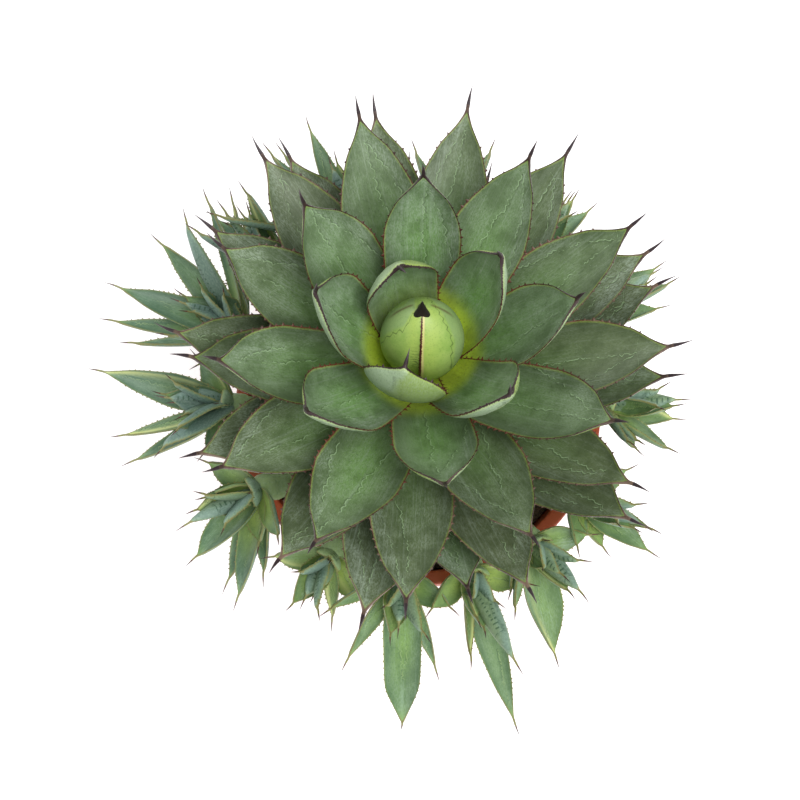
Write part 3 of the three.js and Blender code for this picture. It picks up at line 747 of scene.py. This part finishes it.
# The spine at the bud's top, three-lobed at its foot
def addBudSpine(solid):
    rings, sides = 10, 36
    q = np.linspace(0, 1, rings + 1)[:-1]
    foot = np.array([0, bud["lean"], crownHeight + bud["top"] - bud["spineSink"]])
    tip = np.array([0, bud["lean"] * bud["spineLean"], crownHeight + bud["top"] + bud["spine"]])
    phi = evenAngles(sides)
    lobes = 1 + bud["spineLobes"] * (1 - q[:, None]) * np.cos(3 * phi + math.pi / 2)
    spread = (bud["spineRadius"] * (1 - q) ** 1.25 + 0.12)[:, None] * lobes
    middle = foot + (tip - foot) * q[:, None]
    points = (middle[:, None] + uprightRings(spread, phi, 0)).reshape(-1, 3)
    points = np.concatenate([points, tip[None]])
    solid.add(points, tubeFaces(rings, sides) + apexFaces(rings, sides), horn=1, seam=farOff, imprint=farOff)


def makeBud():
    b = bud
    rings, around = b["rings"], b["around"]
    z = (b["bottom"] + (b["top"] - b["bottom"]) * (1 - (1 - np.linspace(0, 1, rings)) ** 1.5))[:, None]
    turn = np.linspace(0, 1, around)[None, :]
    rise = np.clip(z / b["top"], 0, 1)
    step = b["seamStep"] * (1 - rise ** 3) * np.minimum(1, (z - b["bottom"]) / 12)
    radius = budRadius(z) + step * (turn - 0.5)
    for depth, at, spread in b["grooves"]:
        radius = radius - depth * np.exp(-((turn - at) / spread) ** 2) * (1 - rise ** 2)
    angle = np.radians(b["seamAzimuth"] - 360 * turn)
    x, y = radius * np.cos(angle), b["flatness"] * radius * np.sin(angle) + b["lean"] * rise ** 2
    points = np.stack([x, y, crownHeight + z + 0 * x], -1)
    arc = radius * np.minimum(turn, 1 - turn) * 2 * math.pi
    right = turn > 0.5

    # Where the leaves under the outer two left their imprint, seen from above
    leftLine = b["lean"] - b["leftDip"] * smooth(b["clear"], 7, -x)
    rightLine = np.minimum(b["rightAt"] - b["rightSlope"] * (y - b["lean"]), b["rightLimit"])
    imprint = np.where((x < -b["clear"]) | right, np.where(right, x - rightLine, y - leftLine), farOff)
    beyond = smooth(0, 1.5, imprint) * (imprint < farOff)
    beside = np.where(right, 1 - smooth(2, 12, arc), 0.8 * np.exp(-((arc - 2.5) / 3) ** 2))
    ticks = np.where(right, 0, smooth(0.4, 1, arc) * (1 - smooth(2.5, 4.5, arc))) * (1 - smooth(8, 17, z))
    fromShoulder = y - b["lean"] - b["shoulderAt"] + b["shoulderDroop"] * np.abs(x) ** 1.6
    shoulder = np.exp(-((fromShoulder / b["shoulderHalf"]) ** 2))
    shoulder = shoulder * smooth(b["clear"], 4, np.abs(x)) * (1 - smooth(9, 13, np.abs(x))) * (z > 4)
    solid = Solid()
    solid.add(
        points, tubeFaces(rings, around, closedEnd=True), height=z + 0 * x, beat=np.where(right, y, x),
        seam=np.where(right, arc + 0.2, arc + 0.1 + 0.3 * smooth(4, 20, z)),
        imprint=imprint, bright=beside * smooth(-14, 4, z) * (1 - beyond),
        bloom=0.85 * beyond, ticks=ticks, shoulder=0.7 * shoulder,
        lip=np.where(right, smooth(0.3, 0.6, arc) * (1 - smooth(0.8, 1.3, arc)), 0),
    )
    addBudSpine(solid)
    # Teeth of the outer leaf's margin, lying over the seam
    rows = np.nonzero((z[:, 0] > -8) & (z[:, 0] < 19))[0]
    margin, inner = points[rows, -1], points[rows, -3]
    addTeeth(solid, budTeeth, margin, inner, {"imprint": farOff}, random.Random(b["seed"]))
    piece = solid.build("bud_wrapped_leaves", budMaterial(), sharpAngle=50)
    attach(piece, "root")
    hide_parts("central_bud")
    print("bud ready")


makeBud()


# Offsets round the large rosette

shoot = {
    "footReach": 50, "footHeight": 92, "crownReach": 78, "crownHeight": 133, "footRadius": 5.5,
    "crownRadius": 6, "lean": 46, "rootDepth": 3, "thickness": 3.1, "spine": 6, "coolest": 150,
    "seed": 90,
    "sideLeaves": [(-78, 24, 14), (70, 26, 8), (165, 12, 24), (-15, 10, 28)], "sideWidth": 13,
    "heartLeaves": 3, "heartTurn": 137.5, "heartSpread": (5, 14), "heartRise": (26, 40),
    "heartWidth": (8, 12), "kneeBack": 14, "stemTop": 4, "stemRings": 18, "stemSides": 20,
}

# Leaves are open, closed over the heart of their shoot with their backs outwards, or strap-shaped
leafKinds = {
    "open": {},
    "closed": dict(cup=48, bow=14, marks=1, young=0, markSway=0.02, markOpen=0.16, stripe=0),
    "strap": dict(taper=4, spine=3, closing=0.98, wave=0.8, stripe=0, young=0.2, fresh=0.8),
}

# Offsets by the heading of their stem, with the tip (x, y, z) and width of each long leaf
offsets = [
    dict(
        heading=25,
        open=[(83, 37, 168, 12), (107, 41, 158, 13.5), (106, 56, 140, 13.5), (107, 36, 138, 13.5)],
    ),
    dict(heading=52, open=[(65, 79, 160, 9), (78, 83, 140, 11.5), (62, 101, 138, 11)]),
    dict(heading=80, open=[(-3, 111, 145, 8), (33, 106, 155, 10), (14, 110, 135, 12)]),
    dict(
        heading=111,
        open=[(-49, 119, 150, 10), (-66, 101, 160, 9.5), (-62, 109, 145, 10), (-87, 64, 170, 11)],
    ),
    dict(heading=137, open=[(-94, 58, 172, 12), (-75, 82, 162, 11.5), (-91, 79, 140, 13), (-83, 72, 165, 6)]),
    dict(
        heading=161,
        open=[(-130, 42, 150, 14), (-135, 31, 136, 9.5), (-111, 60, 158, 13.5), (-90, 80, 160, 7),
              (-80, 85, 150, 5), (-125, 18, 142, 6), (-107, 17, 156, 8)],
        closed=[(-96, 67, 168, 12), (-79, 35, 163, 13)],
    ),
    dict(
        heading=185,
        open=[(-136, 6, 145, 15), (-127, -22, 138, 7), (-123, -32, 130, 9.5)],
        closed=[(-104, -36, 158, 19), (-107, -8, 150, 14), (-96, -29, 166, 12)],
    ),
    dict(
        heading=213,
        open=[(-92, -76, 145, 16), (-88, -52, 155, 9.5), (-74, -92, 132, 13), (-80, -84, 124, 11),
              (-63, -82, 128, 8), (-54, -70, 158, 12)],
    ),
    dict(heading=243, open=[(-43, -90, 142, 6.5), (-35, -100, 130, 6.5), (-36, -75, 150, 6)]),
    dict(
        heading=265, strap=[(-7, -138, 142, 16)],
        open=[(-39, -96, 150, 6.5), (-31, -116, 138, 7), (-13, -108, 128, 5), (8, -119, 126, 6.5)],
        closed=[(-24, -80, 152, 8.5)],
    ),
    dict(
        heading=285,
        open=[(38, -140, 134, 12.5), (31, -119, 128, 10.5), (23, -101, 152, 6), (20, -116, 140, 4.5)],
        closed=[(38, -119, 158, 9)],
    ),
    dict(heading=305, open=[(54, -115, 138, 18), (36, -98, 150, 5.5), (57, -84, 158, 7)]),
    dict(
        heading=325,
        open=[(96, -72, 138, 13), (77, -71, 132, 11), (95, -64, 150, 8), (54, -45, 164, 9)],
        closed=[(65, -58, 160, 11)],
    ),
    dict(
        heading=355,
        open=[(104, -32, 150, 12), (83, -34, 168, 9.5), (89, -31, 158, 9.5), (111, -14, 136, 13.5)],
    ),
]


# One leaf of a shoot, bluer with painted sheen where cool is near 1
def youngLeaf(crown, tip, width, axis, cool, kind, draw):
    tip = np.asarray(tip, float)
    side = np.cross(axis, tip - crown)
    leaf = {
        "root": crown + (tip - crown) * shoot["rootDepth"] / np.linalg.norm(tip - crown), "tip": tip,
        "side": -side if kind == "closed" else side, "heart": crown, "width": width,
        "bow": 9, "knee": 0.5, "cup": 34 * draw.uniform(0.9, 1.1), "closing": 0.9,
        "taper": draw.uniform(1.4, 1.75), "thickness": shoot["thickness"], "spine": shoot["spine"],
        "hook": draw.uniform(-0.8, 0.8), "wave": 0.4, "tone": draw.uniform(0, 1),
        # Painted sheen: cool, highest for the shoots at the back and left, sets this leaf's share of the old
        # colours
        "age": float(np.clip(cool + draw.uniform(-0.4, 0.4), 0, 1)),
        "young": draw.uniform(0.2, 1), "glowStart": 2, "glowLength": draw.uniform(12, 34),
        "bloom": draw.uniform(0.4, 1.1), "fresh": draw.uniform(0.2, 0.9), "freshAt": draw.uniform(0.25, 0.5),
        "stripe": 0.8 if draw.random() < 0.3 else 0,
        "stripeAt": draw.choice([-1, 1]) * draw.uniform(0.35, 0.7),
        "hand": draw.choice([-1, 1]), "markApex": draw.uniform(0.6, 0.9),
        "markSway": draw.uniform(-0.12, 0.12), "markBend": draw.uniform(-1, 1),
        "markOpen": draw.uniform(0.15, 0.25), "marks": draw.uniform(0.3, 0.9),
    }
    return {**leaf, **leafKinds[kind]}


def shootFrame(heading):
    turn, lean = math.radians(heading), math.radians(shoot["lean"])
    outward = np.array([math.cos(turn), math.sin(turn), 0])
    axis = outward * math.sin(lean) + np.array([0, 0, math.cos(lean)])
    crown = outward * shoot["crownReach"] + np.array([0, 0, shoot["crownHeight"]])
    return outward, axis, crown


def addShootStem(solid, outward, axis, crown, draw):
    foot = outward * shoot["footReach"] + np.array([0, 0, shoot["footHeight"]])
    path = (foot, crown - axis * shoot["kneeBack"], crown + axis * shoot["stemTop"])
    rings, sides = shoot["stemRings"], shoot["stemSides"]
    t, phi = np.linspace(0, 1, rings), evenAngles(sides)
    forward = bentHeading(*path, t)
    # A level direction that no stem runs along
    level = np.array([0.123, 0.992, 0])
    normal = unit(np.cross(level, forward))
    radius = shoot["footRadius"] + (shoot["crownRadius"] - shoot["footRadius"]) * t
    radius = radius * (1 + 0.05 * np.sin(40 * t + draw.uniform(0, 6))) * (1 - 0.35 * smooth(0.85, 1, t))
    solid.add(
        ringsAlong(bent(*path, t), radius, np.cross(normal, forward), normal, phi),
        tubeFaces(rings, sides, closedEnd=True), share=0.4, edge=8, under=1,
        along=np.repeat(t * 45, sides), across=np.tile(np.cos(phi) * 6, rings),
        markA=farOff, markB=farOff, age=0.1, tone=draw.uniform(0, 1), glow=0.5)


def makeOffsets(material):
    for i, offset in enumerate(offsets):
        draw = random.Random(shoot["seed"] + i)
        # The offsets at the left and back are bluer, a painted sheen of the bright surroundings, and those in
        # front fresher
        cool = 0.5 + 0.5 * math.cos(math.radians(offset["heading"] - shoot["coolest"]))
        outward, axis, crown = shootFrame(offset["heading"])
        solid = Solid()
        addShootStem(solid, outward, axis, crown, draw)
        for kind in leafKinds:
            for x, y, z, width in offset.get(kind, []):
                addLeaf(solid, youngLeaf(crown, (x, y, z), width, axis, cool, kind, draw), offsetForm, draw)
        for turn, reach, rise in shoot["sideLeaves"]:
            spin = Matrix.Rotation(math.radians(turn), 3, "Z")
            tip = crown + np.array(spin @ Vector(outward)) * reach + axis * rise
            leaf = youngLeaf(crown, tip, shoot["sideWidth"], axis, cool, "open", draw)
            addLeaf(solid, leaf, offsetForm, draw)
        # Narrow leaves that still close over the heart
        for k in range(shoot["heartLeaves"]):
            spin = Matrix.Rotation(math.radians(shoot["heartTurn"] * k), 3, Vector(axis))
            across = np.array(spin @ Vector(np.cross(axis, outward)).normalized())
            tip = crown + across * draw.uniform(*shoot["heartSpread"])
            tip = tip + axis * draw.uniform(*shoot["heartRise"])
            width = draw.uniform(*shoot["heartWidth"])
            addLeaf(solid, youngLeaf(crown, tip, width, axis, cool, "closed", draw), offsetForm, draw)
        piece = solid.build(f"offset_shoot_{i + 1:02d}", material)
        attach(piece, "root")
        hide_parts(f"offset_{i + 1:02d}")
    print("offsets:", len(offsets))


makeOffsets(leafMaterial(offsetLook))


# The stem, under the leaves

stemLook = {"bark": "#7f8058", "dark": "#5d5a3e", "scar": "#3d3324"}


# Old stem: dull olive-brown bark with ragged rings where leaves have dropped off
def stemMaterial():
    material, node = startMaterial("stem_bark_with_leaf_scars")
    place = node("TexCoord", output="Object")
    rings = node("TexWave", place, 0.11 / mm, 6, 3, 1.4, bands_direction="Z", output="Fac")
    patch = node("TexNoise", place, 0.22 / mm, 4, 0.6)
    bark = node("Mix", node("MapRange", patch, 0.35, 0.65), stemLook["bark"], stemLook["dark"])
    bark = node("Mix", node("MapRange", rings, 0.1, 0.45, 0.7, 0), bark, stemLook["scar"])
    relief = node("Math", rings, patch, operation="ADD")
    return finishMaterial(material, {
        "Base Color": bark, "Roughness": node("MapRange", patch, 0.3, 0.7, 0.65, 0.85),
        "Normal": node("Bump", 0.8, 0.6 * mm, None, relief),
    })


def makeStem():
    s = stemSize
    z = np.linspace(s["bottom"], s["top"], s["rings"])[:, None]
    phi = evenAngles(s["sides"])
    radius = np.array([[stemRadius(h)] for h in z[:, 0]])
    radius = radius * (1 + s["wrinkle"] * np.sin(z * s["wrinkleWaves"] + 2 * np.sin(3 * phi)))
    solid = Solid()
    solid.add(uprightRings(radius, phi, z), tubeFaces(s["rings"], s["sides"], closedEnd=True))
    piece = solid.build("stem_caudex", stemMaterial())
    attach(piece, "root")
    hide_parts("stem")
    print("stem ready")


makeStem()


# The pot

pot = {
    "rimRadius": 78.5, "baseRadius": 56, "height": 115, "wall": 2.4, "floor": 3, "collarHeight": 15,
    "collarStep": 2.2, "lipHeight": 3, "lipStep": 1.2, "edge": 0.8, "around": 160,
    "footWidth": 8, "footRise": 0.6, "innerTaper": 1, "cornerRadius": 1.1,
    "holes": 4, "holeRadius": 5.3, "holeRing": 36, "holeSides": 32, "holePlay": 2,
}

# The inner radius of a round body that is closed at its axis
nearAxis = 0.001

potLook = {"plastic": "#ac4c2c", "shaded": "#a54829", "scuff": "#d08a6c", "dust": "#b79b86"}


# Points and faces of a closed round body from its outline of radii and heights
def turned(outline, around):
    radius, z = np.asarray(outline, float).T[..., None]
    points = uprightRings(radius, evenAngles(around), z)
    return points.reshape(-1, 3), tubeFaces(len(outline), around, closedEnd=True)


# An outline with each of its inner corners rounded off by a short arc
def rounded(points, radius, steps=4):
    result = [points[0]]
    for before, corner, after in zip(points, points[1:], points[2:]):
        before, corner, after = (np.asarray(p, float) for p in (before, corner, after))
        reachIn, reachOut = np.linalg.norm(before - corner), np.linalg.norm(after - corner)
        r = min(radius, 0.45 * reachIn, 0.45 * reachOut)
        start = corner + (before - corner) * r / reachIn
        end = corner + (after - corner) * r / reachOut
        result += [tuple(point) for point in bent(start, corner, end, np.linspace(0, 1, steps + 1))]
    return result + [points[-1]]


def potRadii():
    collar = pot["rimRadius"] - pot["lipStep"]
    side = collar - pot["collarStep"]
    return collar, side, side - pot["wall"], pot["baseRadius"] - pot["wall"] - pot["innerTaper"]


# Moulded terracotta-coloured plastic: an even brick orange, satin, with dusty smears and fine scuffs
def potMaterial():
    material, node = startMaterial("pot_plastic_moulded_terracotta_colour")
    place = node("TexCoord", output="Object")
    cloud = node("TexNoise", place, 0.028 / mm, 4, 0.6)
    grain = node("TexNoise", place, 2.6 / mm, 2, 0.5)
    scuff = node("TexNoise", node("Mapping", place, None, None, (1, 1, 0.06)), 0.9 / mm, 3, 0.6)
    height = node("SeparateXYZ", place, output="Z")
    dust = node("Math", node("MapRange", height, 0, 30 * mm, 0.35, 0), node("MapRange", cloud, 0.4, 0.6))
    skin = node("Mix", node("MapRange", cloud, 0.35, 0.65), potLook["plastic"], potLook["shaded"])
    skin = node("Mix", node("MapRange", scuff, 0.62, 0.8, 0, 0.25), skin, potLook["scuff"])
    skin = node("Mix", dust, skin, potLook["dust"])
    shine = node("MapRange", cloud, 0.3, 0.7, 0.4, 0.5)
    shine = node("Math", shine, node("MapRange", scuff, 0.5, 0.8, 0, 0.15), operation="ADD")
    bump = node("Bump", 0.25, 0.08 * mm, None, node("Math", grain, scuff, operation="ADD"))
    return finishMaterial(material, {"Base Color": skin, "Roughness": shine, "Normal": bump, "IOR": 1.49})


# Cuts round holes through a piece at the places of the cutters
def cutHoles(piece, cutters):
    for cutter in cutters:
        cut = piece.modifiers.new("drain", "BOOLEAN")
        cut.operation, cut.object, cut.solver = "DIFFERENCE", cutter, "EXACT"
    dressed = bpy.data.meshes.new_from_object(piece.evaluated_get(bpy.context.evaluated_depsgraph_get()))
    piece.modifiers.clear()
    piece.data = dressed
    for cutter in cutters:
        bpy.data.objects.remove(cutter)


def makePot():
    p = pot
    collar, side, inner, innerBase = potRadii()
    edge, foot = p["edge"], p["baseRadius"] - p["footWidth"]
    collarBottom, lipBottom = p["height"] - p["collarHeight"], p["height"] - p["lipHeight"]
    outline = rounded([
        (nearAxis, p["footRise"]), (foot - 1, p["footRise"]), (foot, 0), (p["baseRadius"], 0),
        (side, collarBottom), (collar, collarBottom + edge),
        (collar, lipBottom - edge), (p["rimRadius"], lipBottom),
        (p["rimRadius"], p["height"]), (inner, p["height"]), (innerBase, p["floor"]), (nearAxis, p["floor"]),
    ], p["cornerRadius"])
    solid = Solid()
    solid.add(*turned(outline, p["around"]))
    piece = solid.build("pot_shell", potMaterial(), sharpAngle=40)
    cutters = []
    drain = [(p["holeRadius"], -p["holePlay"]), (p["holeRadius"], p["floor"] + p["holePlay"])]
    for k, turn in enumerate(evenAngles(p["holes"])):
        points, faces = turned(drain, p["holeSides"])
        cutter = Solid()
        cutter.add(points + uprightRings(p["holeRing"], turn, 0), faces)
        cutters.append(cutter.build(f"drain_{k}"))
    cutHoles(piece, cutters)
    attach(piece, "root")
    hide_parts("pot")
    print("pot ready")


makePot()


# The potting mix and the grit on it

soil = {
    "level": 106, "mound": 3, "sink": 0.6, "gap": 0.45, "underGap": 0.4, "axisRadius": 0.05,
    "shoulder": 3, "rings": 46, "around": 220, "roughness": 0.9, "edgeGap": 3, "seed": 12,
    # grains: count, smallest and largest size, and how flat they are
    "crumbs": (900, 0.5, 2.2, 0.7), "perlite": (260, 0.6, 1.7, 0.8),
}

soilLook = {
    "crumb": "#2b2018", "paleCrumb": "#5a4634", "fibre": "#6d5843", "pit": "#b9b2a4", "grit": "#e6e2d8",
}


# Moist potting mix: nearly black-brown crumbs with paler fibres
def soilMaterial():
    material, node = startMaterial("potting_mix_moist_crumbs")
    place = node("TexCoord", output="Object")
    crumb = node("TexNoise", place, 0.7 / mm, 5, 0.7)
    patch = node("TexNoise", place, 0.09 / mm, 3, 0.6)
    mix = node("Mix", node("MapRange", crumb, 0.35, 0.7), soilLook["crumb"], soilLook["paleCrumb"])
    mix = node("Mix", node("MapRange", patch, 0.5, 0.7, 0, 0.5), mix, soilLook["fibre"])
    return finishMaterial(material, {
        "Base Color": mix, "Roughness": node("MapRange", crumb, 0.3, 0.7, 0.75, 0.95),
        "Normal": node("Bump", 1, 1.5 * mm, None, crumb),
    })


# Perlite: chalky white grit with pits
def perliteMaterial():
    material, node = startMaterial("perlite_chalky_grit")
    pit = node("TexNoise", node("TexCoord", output="Object"), 1.5 / mm, 4, 0.7)
    grit = node("Mix", node("MapRange", pit, 0.35, 0.6), soilLook["pit"], soilLook["grit"])
    return finishMaterial(material, {
        "Base Color": grit, "Roughness": node("MapRange", pit, 0.3, 0.7, 0.8, 0.95),
        "Normal": node("Bump", 0.8, 0.4 * mm, None, pit),
    })


# A ball of unit size for grains to be made from
def grainShape():
    mesh = bmesh.new()
    bmesh.ops.create_icosphere(mesh, subdivisions=1, radius=1)
    points = np.array([v.co[:] for v in mesh.verts])
    faces = [tuple(v.index for v in f.verts) for f in mesh.faces]
    mesh.free()
    return points, faces


# Scatters rough grains over the mound
def scatter(solid, count, smallest, largest, squash, rim, draw):
    shape, faces = grainShape()
    for _ in range(count):
        reach = (rim - soil["edgeGap"]) * math.sqrt(draw.uniform(0.02, 1))
        turn = draw.uniform(0, 2 * math.pi)
        ground = soil["level"] - soil["sink"] + soil["mound"] * (1 - (reach / rim) ** 2)
        size = draw.uniform(smallest, largest)
        axis = Vector((draw.random(), draw.random(), 1)).normalized()
        spin = np.array(Matrix.Rotation(draw.uniform(0, 2 * math.pi), 3, axis))
        rough = shape * np.array([[draw.uniform(0.75, 1.15)] for _ in shape])
        grain = rough * [size, size * draw.uniform(0.5, 1), size * squash] @ spin
        solid.add(grain + uprightRings(reach, turn, ground), faces)


def makeSoil():
    draw = random.Random(soil["seed"])
    _, _, inner, innerBase = potRadii()
    slope = (inner - innerBase) / (pot["height"] - pot["edge"] - pot["floor"])

    def wallAt(z):
        return innerBase + slope * (z - pot["floor"]) - soil["gap"]

    axis, low, level = soil["axisRadius"], pot["floor"] + soil["underGap"], soil["level"]
    rim = wallAt(level - 1) - 0.3
    radii = rim * (1 - np.linspace(0, 1, soil["rings"]) ** 1.1)
    radii[-1] = axis
    heights = level - soil["sink"] + soil["mound"] * (1 - (radii / rim) ** 2)
    shoulder = level - soil["shoulder"]
    outline = [(axis, low), (wallAt(low), low), (wallAt(shoulder), shoulder), *zip(radii, heights)]
    points, faces = turned(outline, soil["around"])
    bumps = np.array([draw.uniform(-1, 1) for _ in points]) * soil["roughness"]
    onTop = (points[:, 2] > level - 2) & (np.hypot(points[:, 0], points[:, 1]) < rim - 0.5)
    points[:, 2] += np.where(onTop, bumps, 0)
    solid = Solid()
    solid.add(points, faces)
    scatter(solid, *soil["crumbs"], rim, draw)
    piece = solid.build("potting_mix_bed", soilMaterial(), sharpAngle=35)
    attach(piece, "root")
    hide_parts("soil")
    grit = Solid()
    scatter(grit, *soil["perlite"], rim, draw)
    piece = grit.build("perlite_grit", perliteMaterial(), sharpAngle=35)
    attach(piece, "root")
    print("soil ready")


makeSoil()


# Studio: a pale floor and soft light from above

studio = {
    "floor": "#ffffff", "floorLight": 0.15, "sky": "#ffffff", "skyLight": 0.68,
    # in metres: the floor's size and the point that the lamps face
    "floorSize": 6, "aim": (0, 0, 0.15),
    "lamps": [
        # name, place and size in metres, watts
        ("front_right_soft", (0.45, -0.45, 1.3), 1.1, 21),
        ("back_left_fill", (-0.8, 0.8, 0.9), 0.9, 7),
    ],
}


def makeStudio():
    bpy.ops.mesh.primitive_plane_add(size=studio["floorSize"], location=(0, 0, 0))
    floor = bpy.context.object
    floor.name = "studio_floor"
    material, _ = startMaterial("floor_pale_matte")
    floor.data.materials.append(finishMaterial(material, {
        "Base Color": studio["floor"], "Roughness": 0.9,
        "Emission Color": studio["floor"], "Emission Strength": studio["floorLight"],
    }))
    world = bpy.data.worlds.new("studio_world")
    world.use_nodes = True
    sky = world.node_tree.nodes["Background"].inputs
    fillSockets(world.node_tree, [(sky["Color"], studio["sky"]), (sky["Strength"], studio["skyLight"])])
    bpy.context.scene.world = world
    bpy.context.scene.view_settings.view_transform = "Standard"
    for name, place, size, watts in studio["lamps"]:
        data = bpy.data.lights.new(name, "AREA")
        data.shape, data.size, data.energy = "DISK", size, watts
        lamp = bpy.data.objects.new(name, data)
        lamp.location = place
        lamp.rotation_euler = (Vector(place) - Vector(studio["aim"])).to_track_quat("Z", "Y").to_euler()
        bpy.context.collection.objects.link(lamp)
    print("studio ready")


makeStudio()
